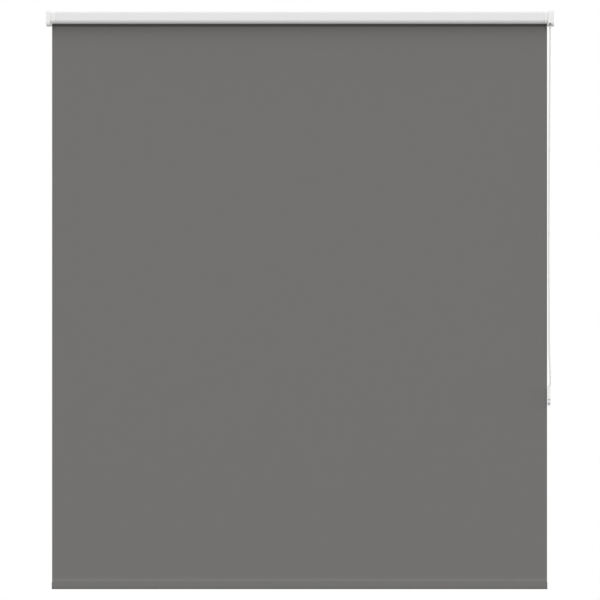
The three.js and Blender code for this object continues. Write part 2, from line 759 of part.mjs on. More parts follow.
function flatBarOutline(half, bottom, top) {
  const outline = new THREE.Shape();
  outline.absarc(0, top - half, half, 0, Math.PI);
  addRoundBottom(outline, half, bottom);
  return outline;
}

const BAR = { half: 2.3, bottom: FABRIC.bottom + 0.6, top: FABRIC.bottom + 17, wall: 0.8, inset: 1 };

function bottomBar() {
  const { half, bottom, top, wall, inset } = BAR;
  const outer = prismX(flatBarOutline(half, bottom, top), FABRIC.left + inset, FABRIC.right - inset);
  const bore = flatBarOutline(half - wall, bottom + wall, top - wall);
  return cut(outer, prismX(bore, FABRIC.left - 1, FABRIC.right + 1));
}

function barCap(edge, hand) {
  const span = (from, to) => (hand < 0 ? [edge - to, edge - from] : [edge + from, edge + to]);
  const { half, bottom, top, wall, inset } = BAR;
  const head = prismX(flatBarOutline(HEM.half, FABRIC.bottom, top + 1.4), ...span(GAP, 0.8));
  const stem = prismX(flatBarOutline(half, bottom, top), ...span(GAP - inset, 0.6));
  const room = wall + 0.25;
  const plugShape = flatBarOutline(half - room, bottom + room, top - room);
  return join(head, stem, prismX(plugShape, ...span(-12, 0.6)));
}

const hanging = addGroup(blind, 0, FABRIC_Y, 0);
const halfCloth = FABRIC.thickness / 2;
const panel = box(FABRIC.left, FABRIC.right, -halfCloth, halfCloth, FABRIC.hemTop + GAP, 0);
addPart(hanging, 'fabric_panel', panel, fabric);
addPart(hanging, 'hem_pocket', hemPocket(), fabric);
addPart(hanging, 'bottom_bar', bottomBar(), aluminium);
addPart(hanging, 'bottom_bar_cap_left', barCap(FABRIC.left, -1), darkPlastic);
addPart(hanging, 'bottom_bar_cap_right', barCap(FABRIC.right, 1), darkPlastic);

export default blind;
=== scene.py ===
"""Looks of a chain-operated roller blind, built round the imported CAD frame.

Pieces are drawn in millimetres, in the frame's own axes: +X along the width, +Y into the wall, +Z up.
"""

import json
import math

import bmesh
import bpy
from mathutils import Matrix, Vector

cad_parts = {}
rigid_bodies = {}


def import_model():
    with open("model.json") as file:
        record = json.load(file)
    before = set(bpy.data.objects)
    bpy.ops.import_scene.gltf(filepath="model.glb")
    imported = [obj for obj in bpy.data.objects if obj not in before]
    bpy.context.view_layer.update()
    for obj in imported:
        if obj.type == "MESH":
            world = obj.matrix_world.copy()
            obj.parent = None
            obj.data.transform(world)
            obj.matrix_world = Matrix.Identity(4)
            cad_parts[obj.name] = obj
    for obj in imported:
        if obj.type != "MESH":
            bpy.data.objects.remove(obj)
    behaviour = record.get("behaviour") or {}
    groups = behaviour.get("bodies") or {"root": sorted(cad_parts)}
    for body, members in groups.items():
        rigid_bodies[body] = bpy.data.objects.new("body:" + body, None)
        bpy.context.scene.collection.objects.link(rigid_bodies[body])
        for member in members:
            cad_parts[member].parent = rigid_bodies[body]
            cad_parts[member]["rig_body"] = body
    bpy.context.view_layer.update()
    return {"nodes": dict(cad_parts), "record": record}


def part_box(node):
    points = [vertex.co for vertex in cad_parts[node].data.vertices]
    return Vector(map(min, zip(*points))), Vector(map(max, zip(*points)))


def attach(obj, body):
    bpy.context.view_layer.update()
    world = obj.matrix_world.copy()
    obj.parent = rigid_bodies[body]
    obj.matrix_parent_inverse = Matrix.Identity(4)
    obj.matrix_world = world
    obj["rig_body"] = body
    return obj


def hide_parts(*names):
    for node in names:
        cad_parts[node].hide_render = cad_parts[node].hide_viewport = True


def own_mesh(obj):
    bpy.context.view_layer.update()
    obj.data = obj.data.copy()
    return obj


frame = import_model()

MM = 0.001
TAU = math.tau
# Between neighbouring CAD solids, and between two visible pieces that meet edge to edge
GAP = 0.3
SEAM = 0.05
# How far joined solids overlap, and a cutting tool runs past the piece that it cuts
LAP = 1

node_body = {name: node["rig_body"] for name, node in frame["nodes"].items()}
node_slot = {part["node"]: part["material_slot"] for part in frame["record"]["subparts"]}


def low(node):
    """A CAD node's lowest corner at rest, in millimetres."""
    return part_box(node)[0] / MM


def high(node):
    """A CAD node's highest corner at rest, in millimetres."""
    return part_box(node)[1] / MM


def middle(node):
    return (low(node) + high(node)) / 2


# Camera: level, square on, far enough back for the nearly parallel view of a product picture
CAMERA = {
    "distance": 40.0,
    "reach": 100.0,
    "plane": -0.02,
    "height": -0.7211,
    "view_width": 1.535,
    "sensor": 36.0,
}


def add_camera():
    data = bpy.data.cameras.new("camera")
    data.sensor_width = CAMERA["sensor"]
    data.lens = CAMERA["sensor"] * CAMERA["distance"] / CAMERA["view_width"]
    data.clip_end = CAMERA["reach"]
    camera = bpy.data.objects.new("camera", data)
    camera.location = (0, CAMERA["plane"] - CAMERA["distance"], CAMERA["height"])
    camera.rotation_euler = (math.pi / 2, 0, 0)
    bpy.context.collection.objects.link(camera)
    bpy.context.scene.camera = camera


add_camera()


# How far the chain hangs sideways between the sprocket and the tensioner: (height, sideways)
STRAND_ROUTE = [
    (-30, 0.2),
    (-95, -0.5),
    (-165, -1),
    (-260, -1.7),
    (-363, -2.4),
    (-465, -2.8),
    (-560, -3.2),
    (-620, -3.3),
    (-670, -3),
    (-721, -2.6),
    (-800, -2.4),
    (-849, -2.1),
    (-871, -1.5),
    (-887, -0.7),
    (-912, 0.1),
    (-933, 0.4),
    (-937, -0.5),
    (-941, -2.1),
]
BEAD = {"radius": 2.25, "pocket": 2.7, "string": 0.55}
PITCH = 6.0
SPROCKET = {"pockets": 13, "rim": 12.9, "half_width": 3.4, "bore": 3.0}
WHEEL = {"pockets": 9, "rim": 9.0, "half_width": 2.5, "bore": 1.9}
for wheel in (SPROCKET, WHEEL):
    wheel["pitch_radius"] = wheel["pockets"] * PITCH / TAU

AXIS_Y = middle("chain_sprocket").y
SPROCKET["centre"] = Vector((high("chain_sprocket").x - SPROCKET["half_width"], AXIS_Y, 0))
WHEEL["centre"] = middle("tensioner_wheel")
WHEEL["centre"].y = AXIS_Y


def strand_point(hand, height, sideways):
    """A place on the chain's front run (hand -1) or back run (hand 1)."""
    share = height / WHEEL["centre"].z
    reach = SPROCKET["pitch_radius"] + (WHEEL["pitch_radius"] - SPROCKET["pitch_radius"]) * share
    return Vector((SPROCKET["centre"].x + sideways, AXIS_Y + hand * reach, height))


# Mesh helpers, in millimetres. Points nearer than these become one, in metres: as drawn, and after cuts.
DRAWN_WELD = 1e-7
CUT_WELD = 2e-6
ON_AXIS = 1e-9


def linked(mesh):
    obj = bpy.data.objects.new("piece", mesh)
    bpy.context.collection.objects.link(obj)
    return obj


def solid(points, faces):
    """A closed mesh with its normals outwards."""
    mesh = bpy.data.meshes.new("piece")
    mesh.from_pydata([Vector(point) * MM for point in points], [], faces)
    shaped = bmesh.new()
    shaped.from_mesh(mesh)
    bmesh.ops.remove_doubles(shaped, verts=shaped.verts, dist=DRAWN_WELD)
    bmesh.ops.recalc_face_normals(shaped, faces=shaped.faces)
    shaped.to_mesh(mesh)
    shaped.free()
    return linked(mesh)


def loft(sections):
    """A skin through sections of equal length, capped at its two ends."""
    size = len(sections[0])
    count = len(sections)
    faces = []
    for level in range(count - 1):
        here = level * size
        above = here + size
        for i in range(size):
            j = (i + 1) % size
            faces.append((here + i, here + j, above + j, above + i))
    faces.append(tuple(range(size)))
    faces.append(tuple(range((count - 1) * size, count * size)))
    return solid([point for section in sections for point in section], faces)


def prism_x(outline, x0, x1):
    """An outline of (y, z) points drawn out along X."""
    return loft([[(x, y, z) for y, z in outline] for x in (x0, x1)])


def prism_y(outline, y0, y1):
    """An outline of (x, z) points drawn out along Y."""
    return loft([[(x, y, z) for x, z in outline] for y in (y0, y1)])


def slab(x0, x1, y0, y1, z0, z1):
    return prism_x([(y0, z0), (y1, z0), (y1, z1), (y0, z1)], x0, x1)


def turned(profile, centre, sides, axis="x"):
    """A closed profile of (radius, distance along the axis), turned about an axis through the centre."""
    sections = []
    for step in range(sides):
        across = math.cos(TAU * step / sides)
        upward = math.sin(TAU * step / sides)
        section = []
        for radius, along in profile:
            if axis == "x":
                offset = Vector((along, radius * across, radius * upward))
            else:
                offset = Vector((radius * across, along, radius * upward))
            section.append(Vector(centre) + offset)
        sections.append(section)
    size = len(profile)
    faces = []
    for level in range(sides):
        here = level * size
        after = ((level + 1) % sides) * size
        for i in range(size):
            j = (i + 1) % size
            if profile[i][0] < ON_AXIS and profile[j][0] < ON_AXIS:
                continue
            faces.append((here + i, here + j, after + j, after + i))
    return solid([point for section in sections for point in section], faces)


def rod(radius, x0, x1, centre, sides=48):
    return turned([(0, x0), (radius, x0), (radius, x1), (0, x1)], centre, sides)


def ring(inner, outer, x0, x1, centre, sides=64):
    return turned([(inner, x0), (outer, x0), (outer, x1), (inner, x1)], centre, sides)


def ball(radius, centre, segments, levels):
    shaped = bmesh.new()
    bmesh.ops.create_uvsphere(shaped, u_segments=segments, v_segments=levels, radius=radius * MM)
    bmesh.ops.translate(shaped, verts=shaped.verts, vec=Vector(centre) * MM)
    mesh = bpy.data.meshes.new("piece")
    shaped.to_mesh(mesh)
    shaped.free()
    return linked(mesh)


def sweep(points, radius, sides):
    """A round section carried along a line of points, without twist."""
    points = [Vector(point) for point in points]
    sections = []
    side = None
    for i, point in enumerate(points):
        ahead = points[min(i + 1, len(points) - 1)]
        behind = points[max(i - 1, 0)]
        along = (ahead - behind).normalized()
        if side is None:
            side = along.orthogonal().normalized()
        side = (side - along * side.dot(along)).normalized()
        up = along.cross(side)
        section = []
        for k in range(sides):
            angle = TAU * k / sides
            section.append(point + (side * math.cos(angle) + up * math.sin(angle)) * radius)
        sections.append(section)
    return loft(sections)


def filleted(corners, steps):
    """The closed outline through (across, up, radius) corners, each rounded by its radius."""
    outline = []
    for i, (across, up, radius) in enumerate(corners):
        here = Vector((across, up))
        before = (Vector(corners[i - 1][:2]) - here).normalized()
        after = (Vector(corners[(i + 1) % len(corners)][:2]) - here).normalized()
        half = before.angle(after) / 2
        centre = here + (before + after).normalized() * (radius / math.sin(half))
        start = here + before * (radius / math.tan(half)) - centre
        end = here + after * (radius / math.tan(half)) - centre
        first = math.atan2(start.y, start.x)
        turn = (math.atan2(end.y, end.x) - first + math.pi) % TAU - math.pi
        for k in range(steps + 1):
            angle = first + turn * k / steps
            outline.append((centre.x + radius * math.cos(angle), centre.y + radius * math.sin(angle)))
    return outline


def flattened(obj, used=()):
    """Makes the modifiers' result the object's own mesh, and removes the objects that they used."""
    graph = bpy.context.evaluated_depsgraph_get()
    mesh = bpy.data.meshes.new_from_object(obj.evaluated_get(graph))
    obj.modifiers.clear()
    obj.data = mesh
    for other in used:
        bpy.data.objects.remove(other)
    return obj


def combined(operation, base, others):
    for other in others:
        modifier = base.modifiers.new("boolean", "BOOLEAN")
        modifier.operation = operation
        modifier.object = other
        modifier.solver = "MANIFOLD"
    return flattened(base, others)


def joined(base, *others):
    return combined("UNION", base, others)


def cut(base, *others):
    return combined("DIFFERENCE", base, others)


def common(base, *others):
    return combined("INTERSECT", base, others)


def gathered(parts):
    """Several loose parts as one object."""
    shaped = bmesh.new()
    for part in parts:
        shaped.from_mesh(part.data)
    base = parts[0]
    shaped.to_mesh(base.data)
    shaped.free()
    for part in parts[1:]:
        bpy.data.objects.remove(part)
    return base


# Faces nearer to flat than the first angle merge, sharper edges than the second are rounded, and
# sharper edges than the third stay sharp in the shading
FLAT_ANGLE = math.radians(0.4)
BEVEL_ANGLE = math.radians(35)
SMOOTH_ANGLE = math.radians(38)


def softened(obj, bevel):
    """Merges flat faces, rounds the edges by bevel millimetres and shades the curves smoothly."""
    shaped = bmesh.new()
    shaped.from_mesh(obj.data)
    bmesh.ops.remove_doubles(shaped, verts=shaped.verts, dist=CUT_WELD)
    bmesh.ops.dissolve_limit(shaped, angle_limit=FLAT_ANGLE, verts=shaped.verts, edges=shaped.edges)
    shaped.to_mesh(obj.data)
    shaped.free()
    if bevel:
        modifier = obj.modifiers.new("rounded edges", "BEVEL")
        modifier.width = bevel * MM
        modifier.segments = 2
        modifier.limit_method = "ANGLE"
        modifier.angle_limit = BEVEL_ANGLE
    flattened(obj)
    obj.data.shade_smooth()
    obj.data.set_sharp_from_angle(angle=SMOOTH_ANGLE)
    weighted = obj.modifiers.new("even shading", "WEIGHTED_NORMAL")
    weighted.keep_sharp = True
    return obj


def stand_in(obj, node, bevel=0.15):
    """Finishes obj as the visible piece for a CAD node, on its body and in its material."""
    softened(obj, bevel)
    obj.name = f"fine_{node}"
    obj.data.name = obj.name
    slot = node_slot[node]
    obj.data.materials.clear()
    obj.data.materials.append(surfaces[slot])
    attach(obj, node_body[node])
    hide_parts(node)
    return obj


def refined(node, bevel):
    """A copy of a CAD node with its edges rounded and its curves shaded smoothly."""
    return stand_in(linked(frame["nodes"][node].data.copy()), node, bevel)


def feed(tree, socket, value):
    """Links a node's output to a socket, or sets the socket to a plain value."""
    if isinstance(value, bpy.types.NodeSocket):
        tree.links.new(value, socket)
    else:
        socket.default_value = value


def calculated(tree, operation, *values):
    """What a Math node makes of its values."""
    node = tree.nodes.new("ShaderNodeMath")
    node.operation = operation
    for socket, value in zip(node.inputs, values):
        feed(tree, socket, value)
    return node.outputs[0]


# Materials. Texture places are in metres, so a scale of 1000 is one wave to a millimetre.
# The Mix node's sockets by number: its two values, its two colours and the colour that it gives.
MIX_VALUES = (2, 3)
MIX_COLORS = (6, 7)
MIXED_COLOR = 2


class Surface:
    """A Principled material, and the nodes that give it its detail."""

    def __init__(self, name, color, roughness, metallic=0.0):
        self.material = bpy.data.materials.new(name)
        self.material.use_nodes = True
        self.tree = self.material.node_tree
        self.shader = self.tree.nodes["Principled BSDF"]
        self.shader.inputs["Base Color"].default_value = (*color, 1)
        self.shader.inputs["Roughness"].default_value = roughness
        self.shader.inputs["Metallic"].default_value = metallic
        self.color = color
        self.place = self.add("ShaderNodeTexCoord").outputs["Object"]

    def add(self, kind, inputs=None, **settings):
        node = self.tree.nodes.new(kind)
        for key, value in settings.items():
            setattr(node, key, value)
        for key, value in (inputs or {}).items():
            self.feed(node.inputs[key], value)
        return node

    def feed(self, socket, value):
        feed(self.tree, socket, value)

    def math(self, operation, *values):
        return calculated(self.tree, operation, *values)

    def noise(self, scale, stretch=(1, 1, 1), detail=2.0):
        places = self.add("ShaderNodeVectorMath", {0: self.place, 1: stretch}, operation="MULTIPLY")
        settings = {"Vector": places.outputs[0], "Scale": scale, "Detail": detail}
        return self.add("ShaderNodeTexNoise", settings).outputs["Fac"]

    def spread(self, value, least, most):
        """Carries a value between 0.3 and 0.7, where most of a noise lies, over to another range."""
        settings = {"Value": value, "From Min": 0.3, "From Max": 0.7, "To Min": least, "To Max": most}
        return self.add("ShaderNodeMapRange", settings).outputs["Result"]

    def tint(self, value, depth):
        """Varies the base colour by up to depth either way."""
        ramp = self.add("ShaderNodeMix", data_type="RGBA")
        dark = [channel * (1 - depth) for channel in self.color]
        light = [min(channel * (1 + depth), 1) for channel in self.color]
        self.feed(ramp.inputs["Factor"], value)
        for socket, color in zip(MIX_COLORS, (dark, light)):
            self.feed(ramp.inputs[socket], (*color, 1))
        self.feed(self.shader.inputs["Base Color"], ramp.outputs[MIXED_COLOR])

    def bump(self, height, depth, strength, under=None):
        """Raises the surface by up to depth millimetres, over the bump under it."""
        settings = {"Height": height, "Distance": depth * MM, "Strength": strength}
        if under:
            settings["Normal"] = under
        node = self.add("ShaderNodeBump", settings)
        self.feed(self.shader.inputs["Normal"], node.outputs["Normal"])
        return node.outputs["Normal"]

    def roughness(self, value, least, most):
        self.feed(self.shader.inputs["Roughness"], self.spread(value, least, most))


def powder_coat():
    """Satin powder coat: a fine orange peel over aluminium."""
    surface = Surface("powder_coat", (0.81, 0.81, 0.815), 0.4)
    peel = surface.bump(surface.noise(650), 0.02, 0.5)
    surface.bump(surface.noise(3500), 0.004, 0.4, under=peel)
    surface.roughness(surface.noise(120), 0.36, 0.46)
    surface.tint(surface.noise(25), 0.006)
    return surface.material


def white_plastic():
    """Moulded white plastic with a fine spark-eroded grain."""
    surface = Surface("white_plastic", (0.87, 0.87, 0.865), 0.45)
    grain = surface.bump(surface.noise(2600, detail=4), 0.008, 0.6)
    surface.bump(surface.noise(140), 0.03, 0.15, under=grain)
    surface.roughness(surface.noise(400), 0.4, 0.52)
    surface.tint(surface.noise(60), 0.008)
    return surface.material


def chain_plastic():
    surface = Surface("chain_plastic", (0.82, 0.82, 0.805), 0.32)
    surface.bump(surface.noise(1500), 0.006, 0.5)
    surface.roughness(surface.noise(500), 0.26, 0.4)
    surface.tint(surface.noise(90), 0.02)
    return surface.material


def nylon():
    surface = Surface("nylon", (0.74, 0.72, 0.67), 0.5)
    surface.bump(surface.noise(1800, detail=3), 0.01, 0.5)
    surface.roughness(surface.noise(300), 0.44, 0.58)
    surface.tint(surface.noise(110), 0.03)
    return surface.material


def grey_plastic():
    surface = Surface("grey_plastic", (0.15, 0.147, 0.14), 0.5)
    surface.bump(surface.noise(2200, detail=3), 0.01, 0.6)
    surface.roughness(surface.noise(350), 0.42, 0.58)
    surface.tint(surface.noise(150), 0.05)
    return surface.material


# The width of one thread
THREAD = 0.36


def blind_fabric():
    """Dense plain weave: each thread passes over one crossing thread and under the next."""
    surface = Surface("blind_fabric", (0.168, 0.165, 0.16), 0.85)
    places = surface.add("ShaderNodeSeparateXYZ", {"Vector": surface.place}).outputs
    half_turn = math.pi / (THREAD * MM)
    warp = surface.math("SINE", surface.math("MULTIPLY", places["X"], half_turn))
    weft = surface.math("SINE", surface.math("MULTIPLY", places["Z"], half_turn))
    over = surface.math("GREATER_THAN", surface.math("MULTIPLY", warp, weft), 0.0)
    crown = surface.add("ShaderNodeMix", {0: over}, data_type="FLOAT")
    for socket, thread in zip(MIX_VALUES, (warp, weft)):
        surface.feed(crown.inputs[socket], surface.math("ABSOLUTE", thread))
    weave = surface.math("POWER", crown.outputs[0], 0.6)
    threads = surface.bump(weave, 0.07, 0.55)
    surface.bump(surface.noise(1.0, (14, 14, 900), 3), 0.02, 0.25, under=threads)
    yarn = surface.math("ADD", surface.noise(1.0, (9, 9, 1400), 2), surface.noise(1.0, (1400, 9, 9), 2))
    # Base colour: a random yarn tone, plus painted shade that is lighter on the threads' crowns and
    # darker in the hollows between them
    yarn_tone_and_weave_shade = surface.math("ADD", surface.math("MULTIPLY", yarn, 0.3), surface.math("MULTIPLY", weave, 0.4))
    surface.tint(yarn_tone_and_weave_shade, 0.12)
    surface.shader.inputs["Sheen Weight"].default_value = 0.08
    surface.shader.inputs["Sheen Roughness"].default_value = 0.5
    surface.shader.inputs["Specular IOR Level"].default_value = 0.2
    return surface.material


METAL_ROUGHNESS_SPREAD = 0.07


def metal(name, color, roughness, stretch, grain_depth):
    """Bare metal, with its grain drawn out where the stretch is uneven."""
    surface = Surface(name, color, roughness, 1.0)
    grain = surface.noise(1.0, stretch, 4)
    surface.bump(grain, grain_depth, 0.5)
    surface.roughness(grain, roughness - METAL_ROUGHNESS_SPREAD, roughness + METAL_ROUGHNESS_SPREAD)
    surface.tint(surface.noise(45, detail=3), 0.06)
    return surface.material


surfaces = {
    "powder_coat": powder_coat(),
    "white_plastic": white_plastic(),
    "chain_plastic": chain_plastic(),
    "nylon": nylon(),
    "grey_plastic": grey_plastic(),
    "blind_fabric": blind_fabric(),
    "bare_aluminium": metal("bare_aluminium", (0.62, 0.62, 0.63), 0.42, (12, 3500, 3500), 0.006),
    "zinc_steel": metal("zinc_steel", (0.56, 0.57, 0.6), 0.38, (500, 500, 500), 0.004),
    "spring_steel": metal("spring_steel", (0.36, 0.36, 0.38), 0.3, (900, 900, 900), 0.003),
}
# The CAD nodes that the pieces stand in for wear the same materials
for name, node in frame["nodes"].items():
    node.data.materials.clear()
    node.data.materials.append(surfaces[node_slot[name]])


# Head. Radii run from the front bottom corner round to the front top one, and "shy" is how far a
# joined part stops short of the faces beside it, so that no two faces lie on each other.
CASSETTE = {"front": -39, "back": -4.5, "bottom": -15, "top": 16.3, "wall": 1.2, "lip": -28}
CASSETTE_RADII = (11.5, 1, 2, 3)
CAP = {"front": -41.5, "back": -1.2, "bottom": -21.4, "top": 20.4}
CAP_RADII = (11, 5, 5, 5)
CAP_FLOOR = 2.8
CAP_INNER = {"left": -639.4, "right": 634.8}
CAP_RIM = {"inner": 1.2, "left": 5.0, "right": 2.9}
CHAMBER = {"inset": 3.2, "wall": 1.2}
NECK = {"wall": 1.8, "waist": 2.0, "left": -634.8, "right": 632.6, "slot_height": 4.5}
FOOT = {"top": -14, "inset": 0.4, "overlap": 2, "shy": 0.01}
TONGUE = {"length": 12, "root": 8, "front": -34, "front_bottom": 10.5, "back": -9.5, "back_bottom": 11}
IDLE_BOSS = {"radius": 6, "end": -638.6, "socket_radius": 2.4, "socket_floor": -642.6}
CHUTE = {"half": 2.6, "springline": -15, "back": -5, "overrun": 5, "steps": 24}
LEAST_RADIUS = 0.2


def rounded_outline(part, radii, inset=0.0, steps=10):
    """A box outline with its own radius at the front bottom, back bottom, back top and front top."""
    front, back = part["front"] + inset, part["back"] - inset
    bottom, top = part["bottom"] + inset, part["top"] - inset
    corners = [(front, bottom), (back, bottom), (back, top), (front, top)]
    rounded = [(y, z, max(radius - inset, LEAST_RADIUS)) for (y, z), radius in zip(corners, radii)]
    return filleted(rounded, steps)


RAIL = {"back": -1.8, "top": 13, "top_lip": 9.5, "bottom": -10, "bottom_lip": -6.5}


def rails(x0, x1):
    """Two hooked rails along the cassette's back, which the brackets hold."""
    wall = CASSETTE["wall"]
    root = CASSETTE["back"] - wall / 2
    parts = []
    for level, lip, side in (("top", "top_lip", -1), ("bottom", "bottom_lip", 1)):
        shelf = sorted((RAIL[level], RAIL[level] + side * wall))
        hook = sorted((RAIL[level], RAIL[lip]))
        parts.append(slab(x0, x1, root, RAIL["back"], *shelf))
        parts.append(slab(x0, x1, RAIL["back"] - wall, RAIL["back"], *hook))
    return parts


def cassette(x0, x1):
    """A thin rounded box, open along its bottom from the front lip to the back wall."""
    wall = CASSETTE["wall"]
    outer = prism_x(rounded_outline(CASSETTE, CASSETTE_RADII, steps=24), x0, x1)
    inner = prism_x(rounded_outline(CASSETTE, CASSETTE_RADII, wall, steps=24), x0 - LAP, x1 + LAP)
    opening = slab(
        x0 - LAP,
        x1 + LAP,
        CASSETTE["lip"],
        CASSETTE["back"] - wall,
        CASSETTE["bottom"] - LAP,
        CASSETTE["bottom"] + wall + LAP,
    )
    return joined(cut(outer, inner, opening), *rails(x0, x1))


def cushion(x0, x1, start_radius, end_radius, steps=9):
    """The cap's outline as a thick plate with its two rims rounded."""
    stations = []
    for edge, radius, order in ((x0, start_radius, 1), (x1, -end_radius, -1)):
        for i in range(steps + 1)[::order]:
            angle = i / steps * math.pi / 2
            inset = abs(radius) * (1 - math.sin(angle))
            stations.append((edge + radius * (1 - math.cos(angle)), inset))
    sections = []
    for x, inset in stations:
        sections.append([(x, y, z) for y, z in rounded_outline(CAP, CAP_RADII, inset)])
    return loft(sections)


def neck(x0, x1, inset=0.0):
    """A length of the cassette's outline, which the caps carry on."""
    return prism_x(rounded_outline(CASSETTE, CASSETTE_RADII, inset), x0, x1)


def neck_slot(x0, x1):
    """The cassette's bottom opening, carried on through a neck."""
    back = CASSETTE["back"] - NECK["wall"]
    bottom = CASSETTE["bottom"]
    return slab(x0, x1, CASSETTE["lip"], back, bottom - LAP, bottom + NECK["slot_height"])


def foot(x0, x1):
    """The cap's bottom carried on under the waist, up to the fabric's edge."""
    below = slab(x0, x1, CAP["front"] - LAP, CAP["back"] + LAP, CAP["bottom"] - LAP, FOOT["top"])
    outline = rounded_outline(CAP, CAP_RADII, FOOT["inset"])
    return common(prism_x(outline, x0 + FOOT["shy"], x1 - FOOT["shy"]), below)


def tongues(x0, x1):
    """Two tongues that push into the cassette's upper corners."""
    inset = CASSETTE["wall"] + GAP
    front = slab(x0, x1, CASSETTE["front"], TONGUE["front"], TONGUE["front_bottom"], CASSETTE["top"])
    back = slab(x0, x1, TONGUE["back"], CASSETTE["back"], TONGUE["back_bottom"], CASSETTE["top"])
    return [common(part, neck(x0 - LAP, x1 + LAP, inset)) for part in (front, back)]


def left_end_cap():
    """The idle side: a hollow cap with a socketed boss for the roller's pin."""
    outer = low("left_end_cap").x
    inner = CAP_INNER["left"]
    waist = NECK["left"]
    neck_end = low("cassette_profile").x - GAP
    body = joined(
        cushion(outer, inner, CAP_RIM["left"], CAP_RIM["inner"]),
        neck(waist, neck_end),
        neck(inner - LAP, waist + LAP, NECK["waist"]),
        foot(inner - FOOT["overlap"], waist),
    )
    floor = outer + CAP_FLOOR
    hollow = cut(
        body,
        neck(floor, waist + NECK["wall"] + LAP, NECK["waist"] + NECK["wall"]),
        neck(waist + NECK["wall"], neck_end + LAP, NECK["wall"]),
        neck_slot(waist, neck_end + LAP),
    )
    axis = (0, AXIS_Y, 0)
    boss = rod(IDLE_BOSS["radius"], floor - LAP, IDLE_BOSS["end"], axis)
    socket = rod(IDLE_BOSS["socket_radius"], IDLE_BOSS["socket_floor"], inner + LAP, axis)
    keys = tongues(neck_end - TONGUE["root"], neck_end + TONGUE["length"])
    return cut(joined(hollow, boss, *keys), socket)


def chain_chute():
    """The arched notch that the chain leaves the cap by."""
    half, steps = CHUTE["half"], CHUTE["steps"]
    x = SPROCKET["centre"].x
    bottom = CAP["bottom"] - CHUTE["overrun"]
    arch = [(x - half, bottom), (x + half, bottom)]
    for k in range(steps + 1):
        angle = math.pi * k / steps
        arch.append((x + half * math.cos(angle), CHUTE["springline"] + half * math.sin(angle)))
    return prism_y(arch, CAP["front"] - CHUTE["overrun"], CHUTE["back"])


def right_end_cap():
    """The control side: a cap open at its outer face, with a chamber for the sprocket."""
    outer = high("right_end_cap").x
    inner = CAP_INNER["right"]
    waist = NECK["right"]
    neck_end = high("cassette_profile").x + GAP
    body = joined(
        cushion(inner, outer, CAP_RIM["inner"], CAP_RIM["right"]),
        neck(neck_end, waist),
        neck(waist - LAP, inner + LAP, NECK["waist"]),
        foot(waist, inner + FOOT["overlap"]),
    )
    chamber = inner + CHAMBER["wall"]
    hollow = cut(
        body,
        prism_x(rounded_outline(CAP, CAP_RADII, CHAMBER["inset"]), chamber, outer + LAP),
        neck(waist - NECK["wall"] - LAP, chamber + LAP, NECK["waist"] + NECK["wall"]),
        neck(neck_end - LAP, waist - NECK["wall"], NECK["wall"]),
        neck_slot(neck_end - LAP, waist),
        chain_chute(),
    )
    return joined(hollow, *tongues(neck_end - TONGUE["length"], neck_end + TONGUE["root"]))


def right_cap_cover():
    """The plate that closes the chamber, flush inside the cap's rim."""
    outline = rounded_outline(CAP, CAP_RADII, CHAMBER["inset"] + GAP)
    return prism_x(outline, low("right_cap_cover").x, high("right_cap_cover").x)


half_cassette = high("cassette_profile").x
stand_in(cassette(-half_cassette, half_cassette), "cassette_profile", bevel=0.2)
stand_in(left_end_cap(), "left_end_cap")
stand_in(right_end_cap(), "right_end_cap")
stand_in(right_cap_cover(), "right_cap_cover")


# Wall brackets
SIDES = ("left", "middle", "right")
SCREW = {"head": 3.5, "height": 2.2, "edge": 0.6, "shank": 2.0, "plain": 2.6, "steps": 8, "sides": 40}
SCREW_THREAD = {"start": 3.0, "root": 1.45, "pitch": 1.4, "point": 4.0}
SCREW_RECESS = {"reach": 1.9, "half": 0.42, "depth": 1.2}


def screw(node):
    """A pan-head screw with a cross recess and a cut thread, pointing into the wall."""
    centre = middle(node)
    face = low(node).y
    seat = face + SCREW["height"]
    tip = high(node).y
    head, shank, root = SCREW["head"], SCREW["shank"], SCREW_THREAD["root"]
    crown = SCREW["height"] - SCREW["edge"]
    profile = []
    for k in range(SCREW["steps"] + 1):
        angle = math.pi / 2 * k / SCREW["steps"]
        profile.append((head * math.sin(angle), seat - SCREW["edge"] - crown * math.cos(angle)))
    profile += [(head, seat), (shank, seat), (shank, seat + SCREW["plain"])]
    y = seat + SCREW_THREAD["start"]
    while y < tip - SCREW_THREAD["point"]:
        profile += [(root, y), (shank, y + SCREW_THREAD["pitch"] / 2)]
        y += SCREW_THREAD["pitch"]
    profile += [(root, y), (0, tip)]
    blank = turned(profile, (centre.x, 0, centre.z), SCREW["sides"], axis="y")
    reach, half = SCREW_RECESS["reach"], SCREW_RECESS["half"]
    floor = face + SCREW_RECESS["depth"]
    recess = []
    for across, upward in ((reach, half), (half, reach)):
        sides = (centre.x - across, centre.x + across)
        recess.append(slab(*sides, face - LAP, floor, centre.z - upward, centre.z + upward))
    return cut(blank, *recess)


for side in SIDES:
    refined(f"bracket_{side}", bevel=0.2)
    refined(f"bracket_{side}_latch", bevel=0.25)
    for hand in "ab":
        node = f"bracket_{side}_screw_{hand}"
        stand_in(screw(node), node, bevel=0.05)


# Roller
ROLLER_PARTS = (
    "roller_tube",
    "fabric_fixing_strip",
    "idle_plug",
    "idle_bush",
    "idle_pin",
    "clutch_drum",
    "clutch_post",
    "clutch_retaining_ring",
)
for node in ROLLER_PARTS:
    refined(node, bevel=0.1)

COIL = {"turns": 12, "steps": 32, "sides": 10}
IDLE_SPRING = {"wire": 0.35, "radius": 2.55}
WRAP_SPRING = {"wire": 0.3, "radius": 3.2}


def coil(node, wire, radius):
    """A spring round the roller's axis, as long as its CAD node."""
    start, end = low(node).x + wire, high(node).x - wire
    turns = COIL["turns"]
    count = turns * COIL["steps"]
    points = []
    for i in range(count + 1):
        angle = TAU * turns * i / count
        x = start + (end - start) * i / count
        points.append((x, AXIS_Y + radius * math.cos(angle), radius * math.sin(angle)))
    return sweep(points, wire, COIL["sides"])


